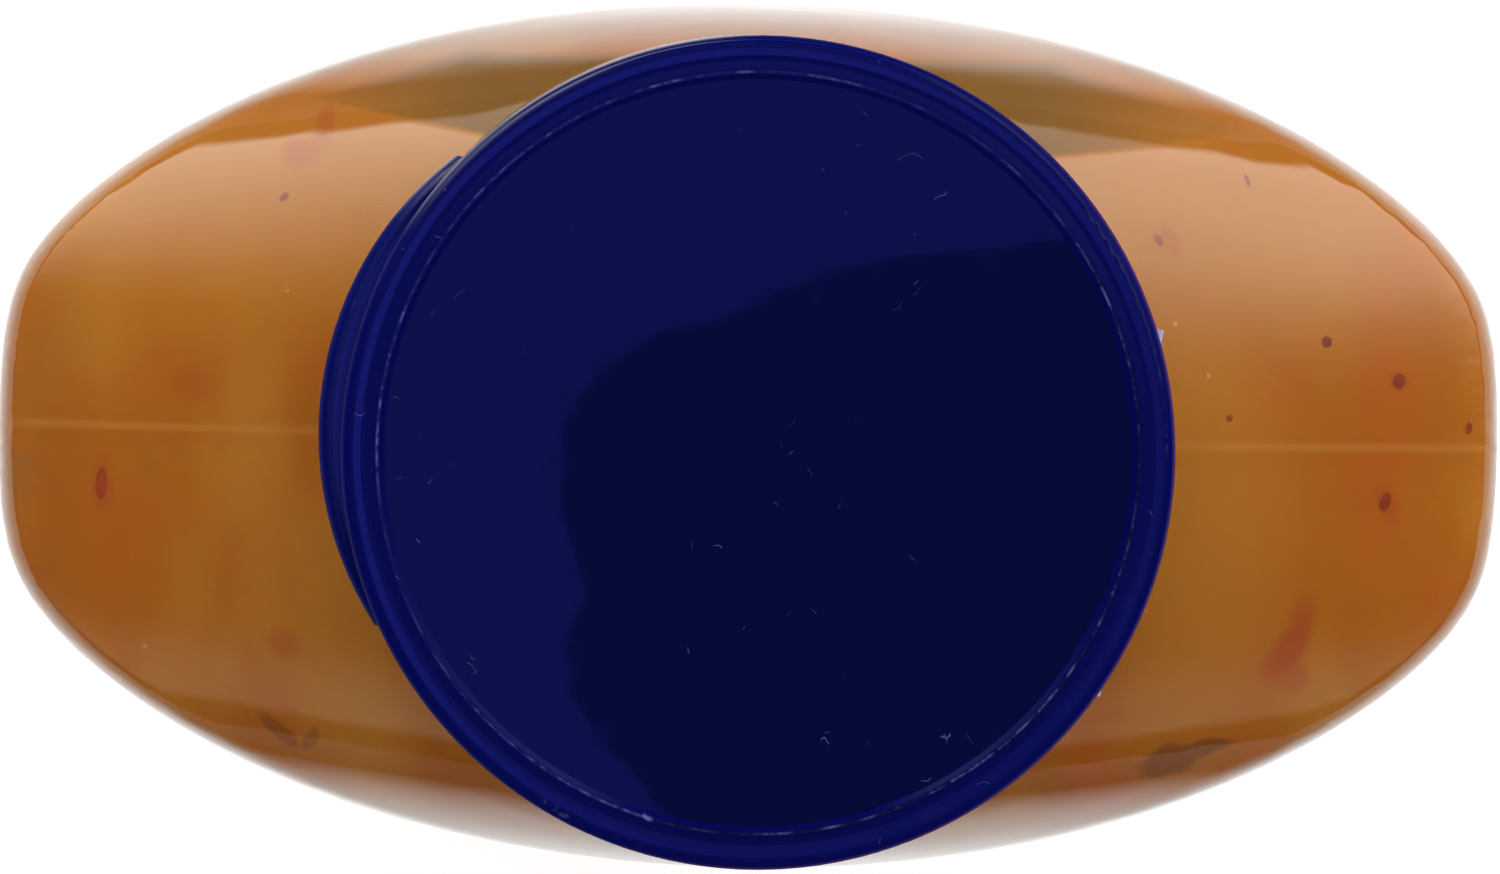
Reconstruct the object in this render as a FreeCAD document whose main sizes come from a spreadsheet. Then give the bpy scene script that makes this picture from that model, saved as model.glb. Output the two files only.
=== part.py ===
import FreeCAD, Part
import Sketcher
import os
from math import asin, cos, pi, radians, sin, sqrt, tan

# An oval squeeze bottle of sauce, shut with a round flip-top cap. It stands upright:
# X is the bottle's width, Y its depth, Z its axis, and the base rests on Z = 0.

doc = FreeCAD.newDocument("sauceBottle")
sizes = doc.addObject("Spreadsheet::Sheet", "sizes")

drivingSizes = {
    # Blown bottle: an oval whose two narrow ends are pressed nearly flat.
    "bodyWidth": 75.0,
    "bodyDepth": 43.3,
    "endPress": 1.047,
    "endCrispness": 36.0,
    "baseWidth": 68.0,
    "baseDepth": 38.8,
    "baseRounding": 4.5,
    "wallThickness": 0.9,
    # Shoulder: from the widest section a crisp edge, then a straight slope to the neck.
    "shoulderHeight": 133.5,
    "shoulderRounding": 2.5,
    "shoulderSlope": 25.0,
    # Neck, which the cap hides.
    "neckRadius": 17.0,
    "neckWall": 1.5,
    "neckLength": 14.6,
    # Hollow pushed up into the base, inside the standing ring.
    "pushUpWidth": 50.0,
    "pushUpDepth": 24.0,
    "pushUpHeight": 3.0,
    "pushUpSlope": 7.0,
    # Sauce.
    "fillDrop": 8.0,
    "fillClearance": 0.05,
    # Cap base: a skirt round the neck under a flat deck.
    "capRadius": 20.0,
    "capTurn": -8.8,
    "boreClearance": 0.3,
    "skirtLift": 0.6,
    "deckThickness": 1.6,
    "edgeChamfer": 0.3,
    # Lid: a dished disc, a raised ring, a groove and a rounded bead, set in from the edge.
    "lidHeight": 9.5,
    "dishInset": 2.1,
    "dishDrop": 0.15,
    "ridgeInset": 1.75,
    "ridgeWidth": 0.2,
    "grooveInset": 1.2,
    "grooveDrop": 0.14,
    "beadInset": 0.95,
    "beadDrop": 0.07,
    "rimRounding": 0.6,
    # Thumb lip low on the lid's front, and the finger scoop under it in the cap base.
    "lipReach": 1.2,
    "lipArcRadius": 17.0,
    "lipWidth": 23.0,
    "lipThickness": 2.8,
    "lipRounding": 0.7,
    "lipRoot": 4.0,
    "scoopRadius": 30.0,
    "scoopDepth": 0.9,
    "scoopHeight": 5.0,
    # Film hinge, folded shut across the back: its two ends stand just proud of the cap.
    "hingeLength": 18.0,
    "hingeInset": 1.5,
    "hingeFold": 1.1,
    "hingeFilm": 0.35,
    "hingeLeg": 0.4,
    "hingeClearance": 0.1,
}

for row, (alias, value) in enumerate(drivingSizes.items(), start=1):
    sizes.set(f"A{row}", alias)
    sizes.set(f"B{row}", str(value))
    sizes.setAlias(f"B{row}", alias)
doc.recompute()

# Lengths worked out from the driving sizes, written once for every piece that uses them.
neckRoot = (
    "(sizes.shoulderHeight + sizes.shoulderRounding * cos(sizes.shoulderSlope)"
    " + (sizes.bodyWidth / 2 - sizes.neckRadius"
    " - sizes.shoulderRounding * (1 - sin(sizes.shoulderSlope))) * tan(sizes.shoulderSlope))"
)
neckTop = f"({neckRoot} + sizes.neckLength)"
mouthRadius = "(sizes.neckRadius - sizes.neckWall)"
boreRadius = "(sizes.neckRadius + sizes.boreClearance)"
capBottom = f"({neckRoot} + sizes.skirtLift)"
baseHeight = "(sizes.neckLength - sizes.skirtLift + sizes.deckThickness)"
lipCentre = "(sizes.capRadius + sizes.lipReach - sizes.lipArcRadius)"
hingeBack = "(sizes.capRadius - sizes.hingeInset - sizes.hingeFold - sizes.hingeLeg)"


# ---- Blown form: horizontal sections of the bottle, lofted from the base to the neck ----

sectionPoints = 64
overlap = 0.5


def ovalSection(halfWidth, halfDepth, press, height):
    """One level of the bottle: an ellipse, longer by the factor press, pressed back to
    halfWidth at its two ends. Points crowd towards the ends, where the oval turns."""
    crisp = sizes.endCrispness
    evenTurns = [2 * pi * index / sectionPoints for index in range(sectionPoints + 1)]
    points = []
    for even in evenTurns[:-1]:
        turn = even - 0.3 * sin(2 * even)
        free = press * cos(turn)
        pressed = free / (1 + (1 - press ** -crisp) * abs(free) ** crisp) ** (1 / crisp)
        points.append(FreeCAD.Vector(halfWidth * pressed, halfDepth * sin(turn), height))
    curve = Part.BSplineCurve()
    curve.interpolate(Points=points, PeriodicFlag=True, Parameters=evenTurns)
    return curve


def solidThrough(levels):
    """A closed solid whose skin runs smoothly through level curves of like knots: each
    row of their poles is interpolated upwards, and flat faces shut the two ends."""
    rings = [level.getPoles() for level in levels]
    stations = [0.0]
    for below, above in zip(rings, rings[1:]):
        travel = sum(low.distanceToPoint(high) for low, high in zip(below, above))
        stations.append(stations[-1] + travel / len(below))
    columns = []
    for poles in zip(*rings):
        column = Part.BSplineCurve()
        column.interpolate(Points=list(poles), Parameters=stations)
        columns.append(column)
    around, upward = levels[0], columns[0]
    surface = Part.BSplineSurface()
    surface.buildFromPolesMultsKnots(
        [column.getPoles() for column in columns],
        around.getMultiplicities(), upward.getMultiplicities(),
        around.getKnots(), upward.getKnots(), True, False, around.Degree, upward.Degree)
    skin = surface.toShape()
    ends = [Part.Face(Part.Wire(edge)) for edge in skin.Edges if edge.BoundBox.ZLength < 1e-6]
    shell = Part.Shell([skin, *ends])
    shell.sewShape()
    return Part.Solid(shell)


def footLevels(inset, press):
    """From the flat standing face out and up round the foot's edge."""
    rounding = sizes.baseRounding - inset
    halfWidth = sizes.baseWidth / 2 - sizes.baseRounding
    halfDepth = sizes.baseDepth / 2 - sizes.baseRounding
    for angle in (0, 18, 36, 54, 72):
        out = rounding * sin(radians(angle))
        height = sizes.baseRounding - rounding * cos(radians(angle))
        yield ovalSection(halfWidth + out, halfDepth + out, press, height)


def sideLevels(inset, press):
    """The side, which swells gently from the foot to the widest section. The levels lie
    closer together towards both ends, where the form turns."""
    steps = 14
    swellWidth = (sizes.bodyWidth - sizes.baseWidth) / 2
    swellDepth = (sizes.bodyDepth - sizes.baseDepth) / 2
    for step in range(steps + 1):
        share = (1 - cos(pi * step / steps)) / 2
        swell = sin(pi / 2 * share)
        yield ovalSection(sizes.baseWidth / 2 + swellWidth * swell - inset,
                          sizes.baseDepth / 2 + swellDepth * swell - inset,
                          press,
                          sizes.baseRounding
                          + (sizes.shoulderHeight - sizes.baseRounding) * share)


def shoulderLevels(inset, press, topRadius):
    """The shoulder: its rounded edge and straight slope along the width, a quarter of an
    ellipse along the depth, and a circle at the top."""
    halfWidth = sizes.bodyWidth / 2 - inset
    halfDepth = sizes.bodyDepth / 2 - inset
    slope = radians(sizes.shoulderSlope)
    rounding = sizes.shoulderRounding - inset
    roundCentre = halfWidth - rounding
    slopeStart = roundCentre + rounding * sin(slope)
    roundRise = rounding * cos(slope)
    fullRise = roundRise + (slopeStart - topRadius) * tan(slope)
    startTurn = asin(roundRise / fullRise)
    roundSteps = 5
    slopeSteps = 11
    for step in range(1, roundSteps + 1):
        angle = (pi / 2 - slope) * step / roundSteps
        yield shoulderSection(roundCentre + rounding * cos(angle), halfWidth, halfDepth,
                              press, topRadius, rounding * sin(angle), fullRise)
    for step in range(1, slopeSteps + 1):
        turn = startTurn + (pi / 2 - startTurn) * (step / slopeSteps) ** 1.5
        rise = fullRise * sin(turn)
        yield shoulderSection(slopeStart - (rise - roundRise) / tan(slope), halfWidth,
                              halfDepth, press, topRadius, rise, fullRise)


def shoulderSection(reach, halfWidth, halfDepth, press, topRadius, rise, fullRise):
    roundness = sqrt(max(0.0, 1 - (rise / fullRise) ** 2))
    flatness = (reach - topRadius) / (halfWidth - topRadius)
    return ovalSection(reach, topRadius + (halfDepth - topRadius) * roundness,
                       1 + (press - 1) * flatness, sizes.shoulderHeight + rise)


def blownForm(inset, topRadius):
    """The bottle's skin, drawn in by inset all over, up to a circle of topRadius on the
    shoulder's slope. Inside the neck it overlaps the neck's own cylinder."""
    press = sizes.endPress
    return solidThrough([*footLevels(inset, press), *sideLevels(inset, press),
                         *shoulderLevels(inset, press, topRadius)])


def domeForm(inset):
    """The hollow under the base, grown by inset all over. It starts below the base, so
    that it cuts clean through the standing face."""
    levels = []
    for share in (-0.3, -0.1, 0.1, 0.3, 0.5, 0.7, 0.85, 1.0):
        draw = sizes.pushUpSlope * share - inset
        levels.append(ovalSection(sizes.pushUpWidth / 2 - draw,
                                  sizes.pushUpDepth / 2 - draw, 1.0,
                                  sizes.pushUpHeight * sin(pi / 2 * share) + inset))
    return solidThrough(levels)


def addForm(name, shape):
    form = doc.addObject("Part::Feature", name)
    form.Shape = shape
    return form


def addColumn(name, radius, bottom, top):
    column = doc.addObject("Part::Cylinder", name)
    column.setExpression("Radius", radius)
    column.setExpression("Height", f"{top} - {bottom}")
    column.setExpression("Placement.Base.z", bottom)
    return column


def addBoolean(kind, name, base, tool):
    result = doc.addObject(f"Part::{kind}", name)
    result.Base = base
    result.Tool = tool
    return result


def hollowForm(name, inset, mouth, top):
    """The space inside the bottle, inset from its skin, with the neck's bore up to top."""
    topRadius = sizes.neckRadius - sizes.neckWall - overlap
    form = addForm(f"{name}Form", blownForm(inset, topRadius))
    bore = addColumn(f"{name}Bore", mouth, "sizes.shoulderHeight", top)
    whole = addBoolean("Fuse", f"{name}Whole", form, bore)
    dome = addForm(f"{name}Dome", domeForm(inset))
    return addBoolean("Cut", name, whole, dome)


def makeBottle():
    skin = addForm("skinForm", blownForm(0.0, sizes.neckRadius - overlap))
    neck = addColumn("neck", "sizes.neckRadius", "sizes.shoulderHeight", neckTop)
    outside = addBoolean("Fuse", "outside", skin, neck)
    standing = addBoolean("Cut", "standing", outside, addForm("pushUp", domeForm(0.0)))
    cavity = hollowForm("cavity", sizes.wallThickness, mouthRadius, f"({neckTop} + 1)")
    bottle = addBoolean("Cut", "bottle", standing, cavity)
    bottle.Label = "bottle"
    return bottle


def makeSauce():
    sauce = hollowForm("sauce", sizes.wallThickness + sizes.fillClearance,
                       f"({mouthRadius} - sizes.fillClearance)",
                       f"({neckTop} - sizes.fillDrop)")
    sauce.Label = "sauce"
    return sauce


# ---- Cap: sketched profiles whose corners are held by the sheet ----

def planeOf(body, role):
    return next(plane for plane in body.Origin.OriginFeatures if plane.Role == role)


def addBody(name, heightText):
    body = doc.addObject("PartDesign::Body", name)
    body.Label = name
    body.Placement.Rotation = FreeCAD.Rotation(FreeCAD.Vector(0, 0, 1), 1)
    body.setExpression("Placement.Rotation.Angle", "sizes.capTurn")
    body.setExpression("Placement.Base.z", heightText)
    return body


def addSketch(body, name, role, heightText="0"):
    sketch = body.newObject("Sketcher::SketchObject", name)
    sketch.AttachmentSupport = [(planeOf(body, role), "")]
    sketch.MapMode = "FlatFace"
    sketch.setExpression("AttachmentOffset.Base.z", heightText)
    return sketch


def valueOf(sketch, text):
    return float(sketch.evalExpression(text))


def holdPoint(sketch, curve, end, across, along):
    """Ties one end of a curve to the sheet by its distances from the sketch's origin.
    A distance of None is left to the curve's other constraints."""
    for kind, axis, text in (("DistanceX", -2, across), ("DistanceY", -1, along)):
        if text is None:
            continue
        if text == "0":
            sketch.addConstraint(Sketcher.Constraint("PointOnObject", curve, end, axis))
            continue
        held = Sketcher.Constraint(kind, -1, 1, curve, end, valueOf(sketch, text))
        index = sketch.addConstraint(held)
        sketch.setExpression(f"Constraints[{index}]", text)


def drawOutline(sketch, corners):
    """A closed outline of straight sides between corners, each a pair of expressions."""
    places = [FreeCAD.Vector(valueOf(sketch, across), valueOf(sketch, along), 0)
              for across, along in corners]
    for index, place in enumerate(places):
        following = places[(index + 1) % len(places)]
        sketch.addGeometry(Part.LineSegment(place, following))
    for index, (across, along) in enumerate(corners):
        before = (index - 1) % len(corners)
        sketch.addConstraint(Sketcher.Constraint("Coincident", before, 2, index, 1))
        holdPoint(sketch, index, 1, across, along)


def addCircle(sketch, across, radius):
    """A circle centred on the sketch's horizontal axis."""
    centre = FreeCAD.Vector(valueOf(sketch, across), 0, 0)
    circle = sketch.addGeometry(
        Part.Circle(centre, FreeCAD.Vector(0, 0, 1), valueOf(sketch, radius)))
    holdPoint(sketch, circle, 3, across, "0")
    held = sketch.addConstraint(
        Sketcher.Constraint("Radius", circle, valueOf(sketch, radius)))
    sketch.setExpression(f"Constraints[{held}]", radius)


def revolve(body, name, corners):
    sketch = addSketch(body, f"{name}Profile", "XZ_Plane")
    drawOutline(sketch, corners)
    turned = body.newObject("PartDesign::Revolution", name)
    turned.Profile = sketch
    turned.ReferenceAxis = (sketch, ["V_Axis"])
    turned.Angle = 360
    doc.recompute()
    return turned


def pocket(body, name, sketch, depth, upwards):
    """Cuts a sketch into the body, and makes sure that the cut took something away."""
    before = body.Shape.Volume
    cut = body.newObject("PartDesign::Pocket", name)
    cut.Profile = sketch
    cut.setExpression("Length", depth)
    cut.Reversed = upwards
    doc.recompute()
    if body.Shape.Volume > before - 0.1:
        raise RuntimeError(f"{name} cuts nothing")
    return cut


def roundEdges(body, name, chosen, radius):
    """Rounds the edges of the body's tip for which chosen(edge) holds."""
    tip = body.Tip
    names = [f"Edge{index}" for index, edge in enumerate(tip.Shape.Edges, start=1)
             if chosen(edge)]
    if not names:
        raise RuntimeError(f"{name} finds no edge")
    rounding = body.newObject("PartDesign::Fillet", name)
    rounding.Base = (tip, names)
    rounding.setExpression("Radius", radius)
    doc.recompute()
    return rounding


def arcAt(edge, radius, height):
    curve = edge.Curve
    return (isinstance(curve, Part.Circle) and abs(curve.Radius - radius) < 1e-4
            and abs(curve.Center.z - height) < 1e-4 and abs(curve.Axis.z) > 0.99)


def hingeNotch(body, name, heightText, upwards):
    """Room for the folded hinge: a straight-backed slot in the rear of the rim."""
    sketch = addSketch(body, f"{name}Outline", "XY_Plane", heightText)
    half = "(sizes.hingeLength / 2 + sizes.hingeClearance)"
    outside = "(sizes.capRadius + 1)"
    drawOutline(sketch, [(hingeBack, f"-{half}"), (outside, f"-{half}"),
                         (outside, half), (hingeBack, half)])
    pocket(body, name, sketch, "sizes.hingeFold", upwards)


def makeCapBase():
    body = addBody("cap_base", capBottom)
    edge = "sizes.edgeChamfer"
    rim = "sizes.capRadius"
    under = f"({baseHeight} - sizes.deckThickness)"
    revolve(body, "skirt", [
        (boreRadius, "0"),
        (f"{rim} - {edge}", "0"),
        (rim, edge),
        (rim, f"{baseHeight} - {edge}"),
        (f"{rim} - {edge}", baseHeight),
        ("0", baseHeight),
        ("0", under),
        (boreRadius, under),
    ])
    scoop = addSketch(body, "scoopOutline", "XY_Plane", baseHeight)
    addCircle(scoop, "-(sizes.capRadius + sizes.scoopRadius - sizes.scoopDepth)",
              "sizes.scoopRadius")
    pocket(body, "scoop", scoop, "sizes.scoopHeight", False)
    hingeNotch(body, "baseNotch", baseHeight, False)
    return body


def addLip(body):
    """The thumb lip: a shallow arc on the lid's front with blunt ends."""
    sketch = addSketch(body, "lipOutline", "XY_Plane")
    half = valueOf(sketch, "sizes.lipWidth / 2")
    centre = -valueOf(sketch, lipCentre)
    radius = sizes.lipArcRadius
    inner = valueOf(sketch, "sizes.lipRoot - sizes.capRadius")
    outer = centre - sqrt(radius ** 2 - half ** 2)
    ends = [FreeCAD.Vector(outer, half, 0), FreeCAD.Vector(outer, -half, 0),
            FreeCAD.Vector(inner, -half, 0), FreeCAD.Vector(inner, half, 0)]
    sketch.addGeometry(Part.Arc(ends[0], FreeCAD.Vector(centre - radius, 0, 0), ends[1]))
    for index in (1, 2, 3):
        sketch.addGeometry(Part.LineSegment(ends[index], ends[(index + 1) % 4]))
    # Of an arc, end 1 starts the counter-clockwise run, which is the one at +Y here.
    for pair in ((0, 2, 1, 1), (1, 2, 2, 1), (2, 2, 3, 1), (3, 2, 0, 1)):
        sketch.addConstraint(Sketcher.Constraint("Coincident", *pair))
    sketch.addConstraint(Sketcher.Constraint("Horizontal", 1))
    sketch.addConstraint(Sketcher.Constraint("Horizontal", 3))
    holdPoint(sketch, 0, 3, f"-{lipCentre}", "0")
    held = sketch.addConstraint(Sketcher.Constraint("Radius", 0, radius))
    sketch.setExpression(f"Constraints[{held}]", "sizes.lipArcRadius")
    holdPoint(sketch, 2, 2, "sizes.lipRoot - sizes.capRadius", "sizes.lipWidth / 2")
    holdPoint(sketch, 2, 1, "sizes.lipRoot - sizes.capRadius", "-sizes.lipWidth / 2")
    lip = body.newObject("PartDesign::Pad", "lip")
    lip.Profile = sketch
    lip.setExpression("Length", "sizes.lipThickness")
    doc.recompute()
    roundEdges(body, "lipEdge",
               lambda edge: arcAt(edge, sizes.lipArcRadius, sizes.lipThickness),
               "sizes.lipRounding")


def makeLid():
    body = addBody("cap_lid", f"{capBottom} + {baseHeight}")
    edge = "sizes.edgeChamfer"
    rim = "sizes.capRadius"
    top = "sizes.lidHeight"
    revolve(body, "lidDisc", [
        ("0", "0"),
        (f"{rim} - {edge}", "0"),
        (rim, edge),
        (rim, f"{top} - sizes.beadDrop"),
        (f"{rim} - sizes.beadInset", f"{top} - sizes.beadDrop"),
        (f"{rim} - sizes.grooveInset", f"{top} - sizes.grooveDrop"),
        (f"{rim} - sizes.ridgeInset + sizes.ridgeWidth / 2", top),
        (f"{rim} - sizes.ridgeInset - sizes.ridgeWidth / 2", top),
        (f"{rim} - sizes.dishInset", f"{top} - sizes.dishDrop"),
        ("0", f"{top} - sizes.dishDrop"),
    ])
    roundEdges(body, "rimEdge",
               lambda edge: arcAt(edge, sizes.capRadius, sizes.lidHeight - sizes.beadDrop),
               "sizes.rimRounding")
    addLip(body)
    hingeNotch(body, "lidNotch", "0", True)
    return body


def makeHinge():
    """The film between lid and base, folded on itself into a U that lies on its side."""
    body = addBody("cap_hinge", f"{capBottom} + {baseHeight} - sizes.hingeFold")
    sketch = addSketch(body, "foldProfile", "XZ_Plane")
    fold = sizes.hingeFold
    film = sizes.hingeFilm
    back = valueOf(sketch, hingeBack)
    bend = back + sizes.hingeLeg
    at = lambda across, along: FreeCAD.Vector(across, along, 0)
    outerArc = Part.Arc(at(bend, 0), at(bend + fold, fold), at(bend, 2 * fold))
    innerArc = Part.Arc(at(bend, film), at(bend + fold - film, fold),
                        at(bend, 2 * fold - film))
    for curve in (
        Part.LineSegment(at(back, 0), at(bend, 0)),
        outerArc,
        Part.LineSegment(at(bend, 2 * fold), at(back, 2 * fold)),
        Part.LineSegment(at(back, 2 * fold), at(back, 2 * fold - film)),
        Part.LineSegment(at(back, 2 * fold - film), at(bend, 2 * fold - film)),
        innerArc,
        Part.LineSegment(at(bend, film), at(back, film)),
        Part.LineSegment(at(back, film), at(back, 0)),
    ):
        sketch.addGeometry(curve)
    for pair in ((0, 2, 1, 1), (1, 2, 2, 1), (2, 2, 3, 1), (3, 2, 4, 1),
                 (4, 2, 5, 2), (5, 1, 6, 1), (6, 2, 7, 1), (7, 2, 0, 1)):
        sketch.addConstraint(Sketcher.Constraint("Coincident", *pair))
    bendText = f"({hingeBack} + sizes.hingeLeg)"
    top = "2 * sizes.hingeFold"
    holdPoint(sketch, 0, 1, hingeBack, "0")
    holdPoint(sketch, 0, 2, bendText, "0")
    holdPoint(sketch, 2, 1, bendText, top)
    holdPoint(sketch, 2, 2, hingeBack, top)
    holdPoint(sketch, 4, 1, hingeBack, f"{top} - sizes.hingeFilm")
    holdPoint(sketch, 4, 2, bendText, f"{top} - sizes.hingeFilm")
    holdPoint(sketch, 6, 1, bendText, "sizes.hingeFilm")
    holdPoint(sketch, 6, 2, hingeBack, "sizes.hingeFilm")
    for arc in (1, 5):
        holdPoint(sketch, arc, 3, bendText, None)
    strap = body.newObject("PartDesign::Pad", "strap")
    strap.Profile = sketch
    strap.setExpression("Length", "sizes.hingeLength")
    strap.Midplane = True
    doc.recompute()
    return body


pieces = [makeBottle(), makeSauce(), makeCapBase(), makeLid(), makeHinge()]
doc.recompute()

for item in doc.Objects:
    if "Invalid" in item.State or "Error" in item.State:
        raise RuntimeError(f"{item.Label} failed: {item.State}")
for piece in pieces:
    if piece.Shape.isNull() or not piece.Shape.isValid() or len(piece.Shape.Solids) != 1:
        raise RuntimeError(f"{piece.Label} is not one valid solid")

os.makedirs("parts", exist_ok=True)
for piece in pieces:
    piece.Shape.exportStep(f"parts/{piece.Label}.step")
    print(piece.Label, round(piece.Shape.Volume / 1000, 2), "ml")
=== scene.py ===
import math
import random

import bmesh
import bpy
from mathutils import Matrix, Vector


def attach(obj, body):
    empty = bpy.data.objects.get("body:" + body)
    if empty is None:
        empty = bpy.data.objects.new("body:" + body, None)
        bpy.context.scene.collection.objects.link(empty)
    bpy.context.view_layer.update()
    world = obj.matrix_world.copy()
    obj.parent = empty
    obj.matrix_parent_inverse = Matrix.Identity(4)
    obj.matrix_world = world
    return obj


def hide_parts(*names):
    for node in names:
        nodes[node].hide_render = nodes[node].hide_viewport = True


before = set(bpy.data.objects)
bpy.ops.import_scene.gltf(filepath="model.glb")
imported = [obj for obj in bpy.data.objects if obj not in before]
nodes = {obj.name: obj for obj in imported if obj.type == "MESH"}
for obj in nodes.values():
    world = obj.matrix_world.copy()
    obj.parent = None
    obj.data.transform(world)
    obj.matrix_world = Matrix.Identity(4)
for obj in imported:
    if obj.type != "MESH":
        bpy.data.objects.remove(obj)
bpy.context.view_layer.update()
scene = bpy.context.scene
mm = 0.001
print("frame loaded")


# a socket that takes arithmetic: each operator adds a Math node
class Wire:
    def __init__(self, tree, socket):
        self.tree = tree
        self.socket = socket

    def math(self, operation, *values):
        return self.tree.node("Math", {"operation": operation}, dict(enumerate(values)))

    def __add__(self, other):
        return self.math("ADD", self, other)

    def __sub__(self, other):
        return self.math("SUBTRACT", self, other)

    def __rsub__(self, other):
        return self.math("SUBTRACT", other, self)

    def __mul__(self, other):
        return self.math("MULTIPLY", self, other)

    def __truediv__(self, other):
        return self.math("DIVIDE", self, other)

    def __abs__(self):
        return self.math("ABSOLUTE", self)

    __radd__ = __add__
    __rmul__ = __mul__

    def power(self, other):
        return self.math("POWER", self, other)

    def atLeast(self, other):
        return self.math("MAXIMUM", self, other)

    # 0 at start, 1 at end, smooth between
    def rise(self, start, end):
        settings = {"interpolation_type": "SMOOTHSTEP"}
        sockets = {"Value": self, "From Min": start, "From Max": end}
        return self.tree.node("MapRange", settings, sockets)

    # 1 within half of middle, falling to 0 over soft
    def band(self, middle, half, soft):
        return 1 - abs(self - middle).rise(half, half + soft)


# a node tree that is filled from Python
class Tree:
    def __init__(self, owner):
        owner.use_nodes = True
        self.nodes = owner.node_tree.nodes
        self.links = owner.node_tree.links
        self.nodes.clear()

    # any node: its type, its settings, then the values or links of its sockets
    def node(self, kind, settings=None, inputs=None, out=0):
        made = self.nodes.new("ShaderNode" + kind)
        for name, value in (settings or {}).items():
            setattr(made, name, value)
        for name, value in (inputs or {}).items():
            if isinstance(value, Wire):
                self.links.new(value.socket, made.inputs[name])
            else:
                made.inputs[name].default_value = value
        return Wire(self, made.outputs[out])

    def mix(self, factor, first, second):
        return self.node("Mix", {"data_type": "RGBA"}, {0: factor, 6: first, 7: second}, out=2)

    def vector(self, operation, *values):
        return self.node("VectorMath", {"operation": operation}, dict(enumerate(values)))

    def place(self):
        return self.node("TexCoord", out="Object")

    def axes(self, vector):
        split = self.node("SeparateXYZ", None, {0: vector})
        outputs = split.socket.node.outputs
        return [Wire(self, outputs[name]) for name in "XYZ"]

    def noise(self, vector, scale, detail=2.0, rough=0.5):
        sockets = {"Vector": vector, "Scale": scale, "Detail": detail, "Roughness": rough}
        return self.node("TexNoise", None, sockets)

    # the distance to the nearest of many scattered points
    def cells(self, vector, scale):
        sockets = {"Vector": vector, "Scale": scale, "Randomness": 1.0}
        return self.node("TexVoronoi", {"feature": "F1"}, sockets)

    def bump(self, height, distance, normal=None):
        sockets = {"Height": height, "Distance": distance, "Strength": 1.0}
        if normal:
            sockets["Normal"] = normal
        return self.node("Bump", None, sockets)

    def close(self, shader, kind="OutputMaterial"):
        output = self.nodes.new("ShaderNode" + kind)
        self.links.new(shader.socket, output.inputs[0])


def newMaterial(name):
    material = bpy.data.materials.new(name)
    return material, Tree(material)


def dress(thing, material):
    if thing.material_slots:
        for slot in thing.material_slots:
            slot.material = material
    else:
        thing.data.materials.append(material)


def newPiece(name, mesh, material, body="root"):
    piece = bpy.data.objects.new(name, mesh)
    scene.collection.objects.link(piece)
    dress(piece, material)
    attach(piece, body)
    return piece


def smoothMesh(name, form):
    for face in form.faces:
        face.smooth = True
    mesh = bpy.data.meshes.new(name)
    form.to_mesh(mesh)
    form.free()
    return mesh


# camera, straight over the cap and a little to its side

cameraSet = {
    "place": (-0.0112, 0.0206, 0.9905),
    "target": (0.000075, -0.000125, 0.1335),
    "roll": 1.05,
    "lens": 411.5,
    "sensor": 36,
    "farthest": 100,
}


def makeCamera():
    lens = bpy.data.cameras.new("camera")
    lens.lens = cameraSet["lens"]
    lens.sensor_width = cameraSet["sensor"]
    lens.clip_end = cameraSet["farthest"]
    camera = bpy.data.objects.new("camera", lens)
    scene.collection.objects.link(camera)
    place = Vector(cameraSet["place"])
    back = (place - Vector(cameraSet["target"])).normalized()
    turn = math.radians(cameraSet["roll"])
    right = Vector((-math.sin(turn), math.cos(turn), 0)).cross(back).normalized()
    up = back.cross(right)
    facing = Matrix((right, up, back)).transposed().to_4x4()
    camera.matrix_world = Matrix.Translation(place) @ facing
    scene.camera = camera


makeCamera()
print("camera set")


# studio: pale floor, white surroundings, soft light from above and behind

stageSet = {
    "floorSize": 30,
    "floorColour": (0.86, 0.86, 0.86, 1),
    "floorGlow": 0.66,
    "bounce": 0.55,  # what the floor throws back on the object
    "sheetGlow": -0.25,  # how much dimmer the near floor is when mirrored
    "sheetRadius": 0.18,
    "sheetSoft": 0.40,
    "beyond": 0.09,  # the far floor when mirrored
    "beyondColour": (1, 0.97, 0.93, 1),
    "aside": 0.85,  # added to it on the left and right
    "asideFrom": (0.45, 0.78),
    "fill": (0.40, 0.40, 0.405, 1),
    "target": (0, 0, 0.12),
}

# heights and widths here are parts of the dome's radius
domeSet = {
    "radius": 4.0,
    "glow": 0.02,
    "windowGlow": 3.8,
    "windowColour": (1, 0.95, 0.84, 1),
    "windowFoot": 0.10,
    "windowSoft": 0.05,
    "windowSkew": 0.14,
    "windowForth": (0.08, 0.72),
    "windowHead": (0.55, 0.85),
    "windowSides": (0.38, 0.8),
    "sideFall": 0.45,
    "pillarSides": (0.25, 0.45),
    "pillarFoot": (0.20, 0.35),
    "doorGlow": 0.5,
    "doorColour": (1, 0.86, 0.66, 1),
    "doorForth": (0.35, 0.8),
    "doorFoot": (0.12, 0.2),
    "doorHead": (0.35, 0.6),
    "zenith": (0.14, 0.14, 1.60, 1),
    "zenithFrom": (0.9945, 0.9975),
    "sides": (64, 32),
    "lift": 0.001,
}

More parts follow.
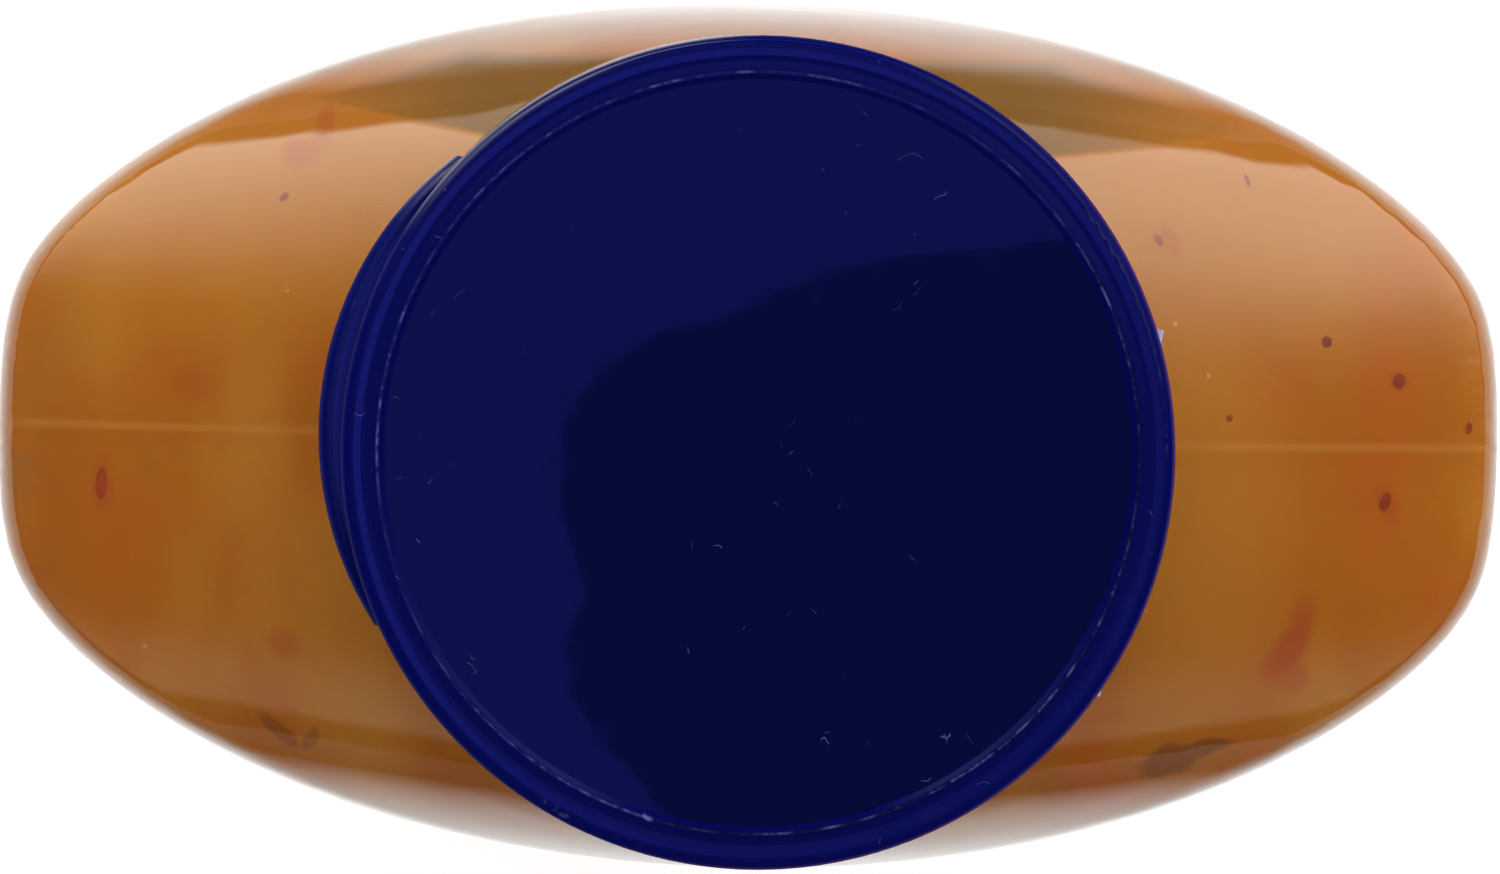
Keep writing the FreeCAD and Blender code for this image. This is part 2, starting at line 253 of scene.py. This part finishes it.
# the hood's outline where it is mirrored on the lid, in mm
hoodSet = {
    "height": 1.4,
    "lid": 0.17,
    "cameraRise": 0.82,
    "colour": (0.01, 0.01, 0.012, 1),
    "corners": [
        (-9.2, -1), (-9.4, 1.5), (-7.6, 3.6), (-5.7, 4.9), (-3, 6.2), (0, 7.5),
        (3, 8.7), (6.8, 9.7), (10, 9.6), (14, 10.8), (24, 12), (24, -26),
        (-3, -26), (-3.9, -17.6), (-7, -13.5), (-9.2, -11), (-8.4, -6.5), (-9.3, -4),
    ],
}

lampSet = [  # name, place, size, power
    ("overhead", (0.1, 0.5, 1.9), (1.8, 1.4), 16),
    ("behind", (0.1, 1.5, 1.5), (2.0, 1.0), 24),
]


def onlyGlossy(thing):
    thing.visible_camera = False
    thing.visible_diffuse = False
    thing.visible_transmission = False
    thing.visible_shadow = False
    thing.visible_volume_scatter = False


# soft light that reflections don't show
def areaLight(name, place, size, power):
    lamp = bpy.data.lights.new(name, "AREA")
    lamp.shape = "RECTANGLE"
    lamp.size, lamp.size_y = size
    lamp.energy = power
    light = bpy.data.objects.new(name, lamp)
    scene.collection.objects.link(light)
    light.location = place
    aim = Vector(stageSet["target"]) - Vector(place)
    light.rotation_euler = aim.to_track_quat("-Z", "Y").to_euler()
    light.visible_camera = False
    light.visible_glossy = False


def stagePiece(name, form, material):
    mesh = bpy.data.meshes.new(name)
    form.to_mesh(mesh)
    form.free()
    piece = bpy.data.objects.new(name, mesh)
    scene.collection.objects.link(piece)
    piece.data.materials.append(material)
    return piece


# 1 where a ray sees a surface straight, mirrored or through the bottle, and 1 where mirrored
def rayMasks(tree):
    outputs = tree.node("LightPath").socket.node.outputs
    straight, glossy, through = (
        Wire(tree, outputs[f"Is {kind} Ray"]) for kind in ("Camera", "Glossy", "Transmission"))
    return straight.atLeast(glossy).atLeast(through), glossy


def makeWorld():
    world = bpy.data.worlds.new("studio")
    scene.world = world
    tree = Tree(world)
    seen, glossy = rayMasks(tree)
    colour = tree.mix(seen, stageSet["fill"], (1, 1, 1, 1))
    background = tree.node("Background", None, {"Color": colour, "Strength": 1.0})
    tree.close(background, "OutputWorld")


# pale to the camera everywhere; reflections meet a sheet that ends not far off
def makeFloor():
    material, tree = newMaterial("studioFloor")
    seen, glossy = rayMasks(tree)
    x, y, z = tree.axes(tree.place())
    away = (x * x + y * y).power(0.5)
    near, soft = stageSet["sheetRadius"], stageSet["sheetSoft"]
    matt = tree.node("BsdfDiffuse", None, {"Color": stageSet["floorColour"]})
    strength = seen * (stageSet["floorGlow"] - stageSet["bounce"]) + stageSet["bounce"]
    strength = strength + glossy * stageSet["sheetGlow"]
    glow = tree.node("Emission", None, {"Color": (1, 1, 1, 1), "Strength": strength})
    sheet = tree.node("AddShader", None, {0: matt, 1: glow})
    aside = (abs(x) / away).rise(*stageSet["asideFrom"]) * stageSet["aside"]
    beyond = tree.node("Emission", None, {
        "Color": stageSet["beyondColour"], "Strength": aside + stageSet["beyond"]})
    far = away.rise(near, near + soft) * glossy
    tree.close(tree.node("MixShader", None, {0: far, 1: sheet, 2: beyond}))
    form = bmesh.new()
    bmesh.ops.create_grid(form, x_segments=1, y_segments=1, size=stageSet["floorSize"] / 2)
    stagePiece("floor", form, material)


# what reflections meet above: a dim ceiling with a wide soft window towards +Y
def makeDome():
    d = domeSet
    material, tree = newMaterial("studioCeiling")
    x, y, z = (axis / d["radius"] for axis in tree.axes(tree.place()))
    wide = (y + x * d["windowSkew"]).rise(*d["windowForth"]) * (1 - z.rise(*d["windowHead"]))
    wide = wide * (1 - abs(x).rise(*d["windowSides"]) * d["sideFall"])
    pillar = (1 - abs(x).rise(*d["pillarSides"])) * z.rise(*d["pillarFoot"])
    foot = z.rise(d["windowFoot"], d["windowFoot"] + d["windowSoft"])
    window = wide * (1 - pillar) * foot * d["windowGlow"]
    door = (0 - y).rise(*d["doorForth"]) * z.rise(*d["doorFoot"]) * (1 - z.rise(*d["doorHead"]))
    dim = (d["glow"], d["glow"], d["glow"], 1)
    ceiling = tree.node("Emission", None, {
        "Color": tree.mix(z.rise(*d["zenithFrom"]), dim, d["zenith"]), "Strength": 1.0})
    bright = tree.node("Emission", None, {"Color": d["windowColour"], "Strength": window})
    low = tree.node("Emission", None, {
        "Color": d["doorColour"], "Strength": door * d["doorGlow"]})
    both = tree.node("AddShader", None, {0: ceiling, 1: bright})
    tree.close(tree.node("AddShader", None, {0: both, 1: low}))
    form = bmesh.new()
    around, upwards = d["sides"]
    bmesh.ops.create_uvsphere(
        form, u_segments=around, v_segments=upwards, radius=d["radius"])
    everything = form.verts[:] + form.edges[:] + form.faces[:]
    bmesh.ops.bisect_plane(
        form, geom=everything, plane_co=(0, 0, d["lift"]), plane_no=(0, 0, 1), clear_inner=True)
    onlyGlossy(stagePiece("ceiling", form, material))


# the dark hood over the table, as the polished lid mirrors it
def makeHood():
    material, tree = newMaterial("studioHood")
    tree.close(tree.node("Emission", None, {"Color": hoodSet["colour"], "Strength": 1.0}))
    height = hoodSet["height"]
    reach = (height - hoodSet["lid"]) / hoodSet["cameraRise"]
    cameraX, cameraY, cameraZ = cameraSet["place"]
    form = bmesh.new()
    verts = []
    for x, y in hoodSet["corners"]:
        across = x * mm + reach * (x * mm - cameraX)
        along = y * mm + reach * (y * mm - cameraY)
        verts.append(form.verts.new((across, along, height)))
    form.faces.new(verts)
    onlyGlossy(stagePiece("hood", form, material))


makeWorld()
makeFloor()
makeDome()
makeHood()
for lamp in lampSet:
    areaLight(*lamp)
scene.view_settings.view_transform = "Standard"
print("studio lit")


# the steep wedges of the shoulders on either side of the cap's back, where the sauce gets painted
# shade, in mm
wedgeSet = {
    "inner": 15.5,
    "foot": 14.6,
    "footSlope": 0.14,
    "footTilt": 0.027,
    "footSoft": (-0.1, 0.15),
    "headFrom": 14.5,
    "head": 18.4,
    "headSlope": 0.32,
    "headSoft": (-0.25, 0.25),
    "end": (22, 26),
}


# 1 inside the wedges, 0 outside
def wedge(x, y):
    w = wedgeSet
    out, up = abs(x) / mm, y / mm
    foot = (out - w["inner"]) * w["footSlope"] - x * (w["footTilt"] / mm) + w["foot"]
    head = w["head"] - (out - w["headFrom"]).atLeast(0) * w["headSlope"]
    inside = (up - foot).rise(*w["footSoft"]) * (1 - (up - head).rise(*w["headSoft"]))
    return inside * (1 - out.rise(*w["end"]))


# clear plastic of the bottle: mould seam, faint waves and handling scuffs; the seam's paler
# colour is partly painted highlight

bottleFinish = {
    "ior": 1.4,
    "roughness": 0.04,
    "scuffScale": 900,
    "scuffFrom": (0.62, 0.8),
    "scuffDepth": 0.02,  # added to the roughness
    "satin": 0.08,  # added to it below the shoulders
    "satinTop": (0.120, 0.131),
    "coatFoot": (0.126, 0.132),
    "seamHalf": 0.03 * mm,
    "seamSoft": 0.34 * mm,
    "seamHeight": 0.006 * mm,
    "seamMilkAndGlint": 0.24,
    "seamScale": 140,
    "seamBroken": (0.2, 0.6),
    "seamGlintColour": (0.55, 0.24, 0.05, 1),
    "seamRoughness": 0.35,
    "waveScale": 60,
    "waveHeight": 0.02 * mm,
}


def clearPlastic():
    f = bottleFinish
    material, tree = newMaterial("clearPlastic")
    place = tree.place()
    x, y, z = tree.axes(place)
    seam = y.band(0, f["seamHalf"], f["seamSoft"])
    waves = tree.noise(place, f["waveScale"], 1.0)
    normal = tree.bump(waves, f["waveHeight"])
    normal = tree.bump(seam, f["seamHeight"], normal)
    scuffs = tree.noise(place, f["scuffScale"], 4.0, 0.7).rise(*f["scuffFrom"])
    satin = (1 - z.rise(*f["satinTop"])) * f["satin"]
    clear = tree.node("BsdfPrincipled", None, {
        "Base Color": (1, 1, 1, 1),
        "Roughness": scuffs * f["scuffDepth"] + f["roughness"] + satin,
        "IOR": f["ior"],
        "Transmission Weight": 1.0,
        "Coat Weight": z.rise(*f["coatFoot"]) * (1 - wedge(x, y)),
        "Coat Roughness": f["roughness"],
        "Normal": normal,
    })
    # the seam's milky line: partly frosted plastic, partly painted highlight in its paler colour
    milkyGlint = tree.node("BsdfPrincipled", None, {
        "Base Color": f["seamGlintColour"],
        "Roughness": f["seamRoughness"],
        "IOR": f["ior"],
        "Normal": normal,
    })
    brokenLine = tree.noise(place, f["seamScale"], 2.0).rise(*f["seamBroken"]) * f["seamMilkAndGlint"]
    tree.close(tree.node("MixShader", None, {0: seam * brokenLine, 1: clear, 2: milkyGlint}))
    return material


dress(nodes["bottle"], clearPlastic())
nodes["bottle"].visible_shadow = False
print("bottle finished")


# sauce: fills the bottle a little into its wall, so that no gap shows

sauceSet = {
    "reach": 0.13 * mm,
    "endReach": 0.30 * mm,
    "colour": (0.330, 0.103, 0.0055, 1),
    "golden": (0.370, 0.145, 0.0140, 1),
    "ruddy": (0.340, 0.088, 0.0060, 1),
    "dull": (0.235, 0.105, 0.0260, 1),
    "deep": (0.25, 0.070, 0.005, 1),
    "red": (0.30, 0.045, 0.012, 1),
    "wedgeShade": (0.18, 0.085, 0.016, 1),
    "soft": 2.5 * mm,  # how far light spreads in it
    "merge": 0.002 * mm,
    "sharpFrom": math.radians(50),
    "top": (0.130, 0.1345),  # the heights between which the shoulders' tones set in, painted light and shade among them
    "steepTop": (0.1315, 0.1345),
    "steepReflection": 0.6,
    "steepFrom": (0.15, 0.62),
    "frontFrom": (0.75, 0.97),
    "streaks": (1.0, 0.42, 0.30),
    "bendScale": 160,
    "wobble": 2.2 * mm,
    "cloudScale": 150,
    "drift": 1.8,  # the golden side gives way to the ruddy one along X
    "goldenFrom": (0.47, 0.70),
    "ruddyFrom": (0.52, 0.72),
    "smudgeScale": 230,
    "smudgeFrom": (0.60, 0.74),
    "smudgeTone": 0.4,
    "patchScale": 60,
    "patchFrom": (0.45, 0.6),
    "fineScale": 300,
    "fineFrom": (0.45, 0.8),
    "fineTone": 0.15,
    "farEndFrom": (31 * mm, 36 * mm),
    "farEndTone": 0.6,
    "bitScale": 105.0,
    "bitFrom": (0.05, 0.3),
    "chanceScale": 30,
    "chanceFrom": (0.5, 0.62),
    "bitTone": 0.5,
    "shadeFrom": (13 * mm, 24 * mm),
    "shadeFall": 0.75,
    "paintedGlowFade": (0.0, 1.8),
    "blurFade": (0.1, 2.0),
    "shadeSpotFade": (0.4, 1.3),
    "roughness": 0.4,
    "ior": 1.38,
    "gloss": 0.1,
    "cloudy": 0.6,
    "spread": (1.0, 0.4, 0.12),
    # the rest are spots: x, y, width, length, turn, strength
    "blurs": [  # red bits deep in the sauce
        (26.8, -9.6, 0.9, 2.2, -20, 0.75),
        (27.3, -11.4, 0.7, 1.0, 20, 0.5),
        (-22.4, 13.4, 0.8, 0.7, 0, 0.5),
        (-21.4, 14.6, 0.35, 1.3, -15, 0.4),
        (-23.0, -10.4, 0.7, 0.7, 0, 0.4),
        (31.6, -2.7, 0.5, 0.9, 20, 0.5),
        (32.2, 3.3, 0.5, 0.6, 60, 0.4),
        (-32.1, -2.9, 0.45, 1.5, 3, 0.5),
        (20.6, 10.0, 0.4, 0.9, 30, 0.4),
        (-27.5, 2.0, 0.8, 0.9, 0, 0.25),
    ],
    # painted shade: dark spots along the shoulders' edge on the -Y side
    "shadeSpots": [
        (-22.9, -14.9, 1.2, 0.4, -38, 0.6),
        (-21.4, -15.2, 0.35, 0.7, -20, 0.45),
        (20.9, -15.5, 1.7, 0.75, 8, 0.75),
        (22.4, -15.0, 2.0, 0.42, 16, 0.75),
    ],
    # painted light: golden glows on the shoulders
    "paintedGlows": [
        (-22.0, 10.5, 12.0, 6.0, 10, 0.9),
        (22.0, 10.5, 12.0, 6.0, -10, 0.7),
        (21.5, -2.0, 5.0, 12.0, 0, 0.9),
    ],
    # colours of the painted shade spots, then of painted reflection on the steep edges: greyer at
    # the front and back, beige at the ends
    "shadeSpotColour": (0.16, 0.045, 0.007, 1),
    "edge": (0.20, 0.155, 0.10, 1),
    "paintedCornerLight": (0.36, 0.20, 0.085, 1),
}


# 1 inside an oval spot on the shoulders, seen from above, fading past its edge
def spot(axes, left, forth, wide, long, turn, fade):
    x, y, z = axes
    cosine, sine = math.cos(math.radians(turn)), math.sin(math.radians(turn))
    across = ((x - left * mm) * cosine + (y - forth * mm) * sine) / (wide * mm)
    along = ((y - forth * mm) * cosine - (x - left * mm) * sine) / (long * mm)
    return 1 - (across * across + along * along).rise(*fade)


# the strongest of several spots that fade in on the shoulders
def spots(axes, rows, fade, top, strongest=0):
    for left, forth, wide, long, turn, strength in rows:
        shown = spot(axes, left, forth, wide, long, turn, fade) * top * strength
        strongest = shown.atLeast(strongest)
    return strongest


def sauceMaterial():
    s = sauceSet
    material, tree = newMaterial("sweetSourSauce")
    place = tree.place()
    x, y, z = tree.axes(place)
    wobble = (tree.noise(place, s["bendScale"], 3.0, 0.6) - 0.5) * s["wobble"]
    loose = (x + wobble, y - wobble, z)
    top = z.rise(*s["top"])

    # streaks and clouds
    streaky = tree.vector("MULTIPLY", place, s["streaks"])
    cloud = tree.noise(streaky, s["cloudScale"], 2.0, 0.45) - x * s["drift"]
    patches = tree.noise(place, s["patchScale"], 0.0).rise(*s["patchFrom"])
    smudge = tree.noise(place, s["smudgeScale"], 2.0, 0.5).rise(*s["smudgeFrom"]) * patches
    fine = tree.noise(place, s["fineScale"], 3.0, 0.6).rise(*s["fineFrom"]) * s["fineTone"]
    # darker towards the -X end of the shoulders
    farEnd = (0 - x).rise(*s["farEndFrom"]) * top * s["farEndTone"]
    colour = tree.mix(cloud.rise(*s["goldenFrom"]), s["colour"], s["golden"])
    colour = tree.mix((1 - cloud).rise(*s["ruddyFrom"]), colour, s["ruddy"])
    colour = tree.mix(fine.atLeast(farEnd), colour, s["deep"])
    colour = tree.mix(smudge * s["smudgeTone"], colour, s["dull"])
    # painted light: golden glows on the shoulders
    colour = tree.mix(spots(loose, s["paintedGlows"], s["paintedGlowFade"], top), colour, s["golden"])

    # red bits deep in it: scattered over the body, placed on the shoulders
    bits = 1 - tree.cells(place, s["bitScale"]).rise(*s["bitFrom"])
    chance = tree.noise(place, s["chanceScale"], 0.0).rise(*s["chanceFrom"])
    red = bits * chance * (1 - top) * s["bitTone"]
    red = spots(loose, s["blurs"], s["blurFade"], top, red)
    colour = tree.mix(red, colour, s["red"])

    # painted shade in the wedges and dark spots, and painted reflection on the steep edges
    outward = 1 - abs(x).rise(*s["shadeFrom"]) * s["shadeFall"]
    colour = tree.mix(wedge(x + wobble * 0.5, y) * top * outward, colour, s["wedgeShade"])
    dark = spots(loose, s["shadeSpots"], s["shadeSpotFade"], top)
    colour = tree.mix(dark, colour, s["shadeSpotColour"])
    # painted reflection: the steep edges turn greyer at the front and back, beige at the ends
    facing = tree.axes(tree.node("NewGeometry", out="Normal"))
    steep = (1 - abs(facing[2]).rise(*s["steepFrom"])) * z.rise(*s["steepTop"])
    pale = tree.mix(abs(facing[1]).rise(*s["frontFrom"]), s["paintedCornerLight"], s["edge"])
    colour = tree.mix(steep * s["steepReflection"], colour, pale)

    shader = tree.node("BsdfPrincipled", None, {
        "Base Color": colour,
        "Roughness": s["roughness"],
        "IOR": s["ior"],
        "Specular IOR Level": s["gloss"],
        "Subsurface Weight": s["cloudy"],
        "Subsurface Radius": s["spread"],
        "Subsurface Scale": s["soft"],
    })
    tree.close(shader)
    return material


def makeSauce():
    form = bmesh.new()
    form.from_mesh(nodes["sauce"].data)
    bmesh.ops.remove_doubles(form, verts=form.verts, dist=sauceSet["merge"])
    form.normal_update()
    for vertex in form.verts:
        # the narrow ends reach further, where the wall is seen along its length
        reach = sauceSet["reach"] + sauceSet["endReach"] * vertex.normal.x ** 4
        vertex.co += vertex.normal * reach
    mesh = smoothMesh("sauceFill", form)
    mesh.set_sharp_from_angle(angle=sauceSet["sharpFrom"])
    sauce = newPiece("sauceFill", mesh, sauceMaterial())
    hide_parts("sauce")
    return sauce


sauce = makeSauce()
print("sauce filled")


# chilli flakes and seeds, pressed against the wall

flakeSet = {
    "seed": 11,
    "placed": [  # x, y, length, width, turn
        (-32.1, -2.9, 2.1, 0.75, 84),
        (28.5, 5.2, 0.8, 0.7, 30),
        (32.2, 3.3, 1.0, 0.9, 70),
        (23.6, 1.4, 0.55, 0.45, 10),
        (31.6, -2.7, 1.2, 0.8, 60),
        (19.9, 10.1, 0.9, 0.5, 120),
        (35.8, 1.0, 0.8, 0.45, 80),
        (-23.2, 11.4, 0.7, 0.5, 40),
        (24.4, 13.0, 0.9, 0.35, 100),
    ],
    "loose": 150,
    "size": (0.8, 2.8),
    "thick": 0.18,
    "sunk": 0.04,
    "rough": 0.2,
    "dark": (0.14, 0.018, 0.004, 1),
    "light": (0.24, 0.036, 0.008, 1),
    "strength": 0.95,
}

seedSet = {
    "seed": 5,
    "placed": [
        (-23.0, 6.8, 0.45, 0.35, 20),
        (22.5, 3.5, 0.5, 0.4, 100),
        (-29.8, -10.9, 0.6, 0.5, 0),
        (20.8, 6.0, 0.45, 0.4, 0),
    ],
    "loose": 30,
    "size": (0.5, 1.5),
    "thick": 0.3,
    "sunk": 0.06,
    "rough": 0.05,
    "dark": (0.42, 0.20, 0.055, 1),
    "light": (0.50, 0.27, 0.095, 1),
    "strength": 0.6,
}

# how bits are made: the placed ones are rounder and finer than the loose ones
bitSet = {
    "placedDivisions": 3,
    "placedRough": 0.6,
    "looseDivisions": 2,
    "slim": (0.45, 0.85),
    "above": 0.2,
    "heights": (0.006, 0.131),
    "startAway": (0.08, 0.05),
    "aimSquash": 0.8,
    "shownFrom": (0.15, 0.75),
    "toneScale": 700,
    "toneFrom": (0.3, 0.7),
    "roughness": 0.4,
    "gloss": 0.1,
    "skinScale": 1800,
    "skinHeight": 0.005 * mm,
}


# a bit is plainest in its middle and fades into the sauce round its edge
def bitMaterial(name, settings):
    material, tree = newMaterial(name)
    place = tree.place()
    tone = tree.noise(place, bitSet["toneScale"], 2.0).rise(*bitSet["toneFrom"])
    core = tree.node("Attribute", {"attribute_name": "core"}, out="Fac")
    colour = tree.mix(tone, settings["dark"], settings["light"])
    skin = tree.noise(place, bitSet["skinScale"], 2.0)
    shader = tree.node("BsdfPrincipled", None, {
        "Base Color": colour,
        "Roughness": bitSet["roughness"],
        "Specular IOR Level": bitSet["gloss"],
        "Alpha": core.rise(*bitSet["shownFrom"]) * settings["strength"],
        "Normal": tree.bump(skin, bitSet["skinHeight"]),
    })
    tree.close(shader)
    return material


# a place beside the bottle and the way from there to its wall
def looseStart(maker):
    turn = maker.uniform(0, 2 * math.pi)
    cosine, sine = math.cos(turn), math.sin(turn)
    farX, farY = bitSet["startAway"]
    start = Vector((farX * cosine, farY * sine, maker.uniform(*bitSet["heights"])))
    return start, Vector((-cosine, -sine * bitSet["aimSquash"], 0))


# core is 1 in a bit's middle and 0 round its edge
def addBit(form, core, place, size, rough, divisions, maker):
    made = bmesh.ops.create_icosphere(form, subdivisions=divisions, radius=0.5)["verts"]
    for vertex in made:
        vertex[core] = max(0, 1 - 4 * (vertex.co.x ** 2 + vertex.co.y ** 2))
        vertex.co *= 1 + maker.uniform(-rough, rough)
    bmesh.ops.scale(form, vec=Vector(size) * mm, verts=made)
    bmesh.ops.transform(form, matrix=place, verts=made)


def makeBits(name, settings):
    maker = random.Random(settings["seed"])
    form = bmesh.new()
    core = form.verts.layers.float.new("core")
    rough = settings["rough"]
    wanted = []  # start, aim, length, width, heading, roughness, divisions
    for x, y, length, width, degrees in settings["placed"]:
        start, turn = Vector((x * mm, y * mm, bitSet["above"])), math.radians(degrees)
        heading = Vector((math.cos(turn), math.sin(turn), 0))
        wanted.append((start, Vector((0, 0, -1)), length, width, heading,
                       rough * bitSet["placedRough"], bitSet["placedDivisions"]))
    for count in range(settings["loose"]):
        start, aim = looseStart(maker)
        length = maker.uniform(*settings["size"])
        width = length * maker.uniform(*bitSet["slim"])
        turn = maker.uniform(0, math.pi)
        heading = Vector((math.cos(turn), math.sin(turn), math.sin(3 * turn)))
        wanted.append((start, aim, length, width, heading, rough, bitSet["looseDivisions"]))
    for start, aim, length, width, heading, rough, divisions in wanted:
        hit, wall, normal, face = sauce.ray_cast(start, aim)
        if hit:
            side = normal.cross(heading).normalized()
            facing = Matrix((side.cross(normal), side, normal)).transposed().to_4x4()
            place = Matrix.Translation(wall - normal * settings["sunk"] * mm) @ facing
            addBit(form, core, place, (length, width, settings["thick"]), rough, divisions, maker)
    mesh = smoothMesh(name, form)
    bits = newPiece(name, mesh, bitMaterial(name, settings))
    bits.visible_shadow = False


makeBits("chilliFlakes", flakeSet)
makeBits("chilliSeeds", seedSet)
print("flakes and seeds scattered")


# dark blue plastic of the cap

capFinish = {
    "blue": (0.0014, 0.0028, 0.035, 1),
    "litRimBlue": (0.0010, 0.0024, 0.074, 1),
    "scuffed": (0.10, 0.11, 0.32, 1),
    "marks": (0.09, 0.11, 0.34, 1),
    "ridge": 18.25 * mm,
    "litLipBlue": (0.0050, 0.0085, 0.115, 1),
    "litCornerBlue": (0.0012, 0.0026, 0.088, 1),
    "glint": (0.20, 0.05, 0.26, 1),
    "mattTop": 0.5,
    "mattCorner": 0.92,
    "paintedCornerLight": 0.8,
    "cornerFoot": (0.02, 0.08),
    "cornerHead": (0.88, 0.975),
    "polish": 0.015,
    "grainScale": 500,
    "grainFrom": (0.5, 0.8),
    "grainDepth": 0.03,
    "rimRoughness": 0.10,
    "rimWide": (-0.1 * mm, 0.3 * mm),
    "waveScale": 110,
    "waveHeight": 0.006 * mm,
    "markDepth": 0.01 * mm,
    "markTone": 0.55,
    "cloudScale": 120,
    "cloudFrom": (0.35, 0.6),
    "nickScale": 1100,
    "nickFrom": (0.46, 0.66),
    "lineScale": 640,
    "lineWide": (0.0012, 0.0035),
    "gateScale": 1000,
    "gateFrom": (0.735, 0.78),
    "fieldScale": 70,
    "fieldFrom": (0.48, 0.54),
    "speckScale": 330.0,
    "speckFrom": (0.010, 0.020),
    "sparseScale": 210,
    "sparseFrom": (0.60, 0.63),
    "litLipTone": 0.8,
    "ior": 1.49,
    "lipFrom": (20.1 * mm, 20.5 * mm),
    "topFrom": (0.1700, 0.1701),
    "crestFrom": (0.1702, 0.1703),
    "dents": [  # x, y, width, length, turn
        (-9.4, -17.2, 0.8, 0.16, -36),
        (-4.9, -17.5, 0.32, 0.2, -20),
    ],
    "dentFade": (0.4, 1.5),
    "glintAway": (19.80 * mm, 19.94 * mm),
    "glintHeight": (0.1690, 0.1696),
    "glintWay": (0.9, -0.44),
    "glintFrom": (0.0, 0.7),
    "glintTone": 0.6,
    "crestWide": (0.02 * mm, 0.07 * mm),
    "shinyWay": (-0.5, 0.86),
    "shinyFrom": (0.86, 0.96),
    "shinyAway": (19.6 * mm, 19.8 * mm),
}

hingeFinish = {
    "blue": (0.02, 0.025, 0.14, 1),
    "strained": (0.34, 0.31, 0.56, 1),
    "middle": -3.2 * mm,
    "ends": (0.0068, 0.0082),
    "strainScale": 900,
    "strainFrom": (0.3, 0.6),
    "roughness": 0.35,
}


def capMaterial():
    c = capFinish
    material, tree = newMaterial("capPlastic")
    place = tree.place()
    x, y, z = axes = tree.axes(place)
    away = (x * x + y * y).power(0.5)
    onTop = z.rise(*c["topFrom"])

    # 1 towards a way seen from above, in the middle 0
    def towards(way, limits):
        return ((x * way[0] + y * way[1]) / away).rise(*limits)

    # blue, with painted light on the rim and the lip, which are a lighter blue, and the scuffed
    # crest of the ridge
    cloud = tree.noise(place, c["cloudScale"], 2.0)
    rim = away.rise(*(c["ridge"] + wide for wide in c["rimWide"]))
    colour = tree.mix(rim * (cloud * 0.25 + 0.8), c["blue"], c["litRimBlue"])
    colour = tree.mix(away.rise(*c["lipFrom"]) * c["litLipTone"], colour, c["litLipBlue"])
    crest = away.band(c["ridge"], *c["crestWide"]) * z.rise(*c["crestFrom"])
    nicks = tree.noise(place, c["nickScale"], 3.0, 0.7).rise(*c["nickFrom"])
    brokenLine = (nicks * 0.6 + 0.03) * (cloud.rise(*c["cloudFrom"]) * 0.65 + 0.2)
    colour = tree.mix(crest * brokenLine, colour, c["scuffed"])

    # short scratches and specks on the lid
    lines = tree.noise(place, c["lineScale"], 1.0, 0.4).band(0.5, *c["lineWide"])
    gate = tree.noise(place, c["gateScale"], 0.0).rise(*c["gateFrom"])
    gate = gate * tree.noise(place, c["fieldScale"], 0.0).rise(*c["fieldFrom"])
    specks = 1 - tree.cells(place, c["speckScale"]).rise(*c["speckFrom"])
    sparse = tree.noise(place, c["sparseScale"], 0.0).rise(*c["sparseFrom"])
    marks = (lines * gate).atLeast(specks * sparse) * onTop
    colour = tree.mix(marks * c["markTone"], colour, c["marks"])

    # two dents on the ridge, and a painted glint below the rim
    dents = 0
    for dent in c["dents"]:
        dents = spot(axes, *dent, c["dentFade"]).atLeast(dents)
    colour = tree.mix(dents * nicks, colour, c["scuffed"])
    low = towards(c["glintWay"], c["glintFrom"])
    glint = away.rise(*c["glintAway"]) * z.rise(*c["glintHeight"]) * low
    colour = tree.mix(glint * c["glintTone"], colour, c["glint"])

    grain = tree.noise(place, c["grainScale"], 4.0, 0.7).rise(*c["grainFrom"])
    waves = tree.bump(tree.noise(place, c["waveScale"], 2.0), c["waveHeight"])
    polished = tree.node("BsdfPrincipled", None, {
        "Base Color": colour,
        "Roughness": grain * c["grainDepth"] + rim * c["rimRoughness"] + c["polish"],
        "IOR": c["ior"],
        "Normal": tree.bump(marks, c["markDepth"], waves),
    })

    # the roundings and part of the lid's face are matt
    upward = tree.axes(tree.node("NewGeometry", out="Normal"))[2]
    shiny = towards(c["shinyWay"], c["shinyFrom"]) * away.rise(*c["shinyAway"])
    rounded = upward.rise(*c["cornerFoot"]) * (1 - upward.rise(*c["cornerHead"]))
    corner = rounded * (1 - shiny) * c["mattCorner"]
    # painted light: the matt roundings get a lighter blue, as if lit from the side
    matt = tree.node("BsdfDiffuse", None, {
        "Color": tree.mix(corner * c["paintedCornerLight"], colour, c["litCornerBlue"])})
    dulled = corner.atLeast(onTop * (1 - rim) * c["mattTop"])
    tree.close(tree.node("MixShader", None, {0: dulled, 1: polished, 2: matt}))
    return material


# the film whitens at its two ends, where it folds hardest
def hingeMaterial():
    h = hingeFinish
    material, tree = newMaterial("hingeFilm")
    place = tree.place()
    x, y, z = tree.axes(place)
    ends = abs(y - h["middle"]).rise(*h["ends"])
    strain = tree.noise(place, h["strainScale"], 3.0, 0.7).rise(*h["strainFrom"])
    colour = tree.mix(ends * (strain * 0.5 + 0.5), h["blue"], h["strained"])
    shader = tree.node("BsdfPrincipled", None, {
        "Base Color": colour, "Roughness": h["roughness"], "IOR": capFinish["ior"]})
    tree.close(shader)
    return material


capPlastic = capMaterial()
dress(nodes["cap_base"], capPlastic)
dress(nodes["cap_lid"], capPlastic)
dress(nodes["cap_hinge"], hingeMaterial())
print("cap finished")
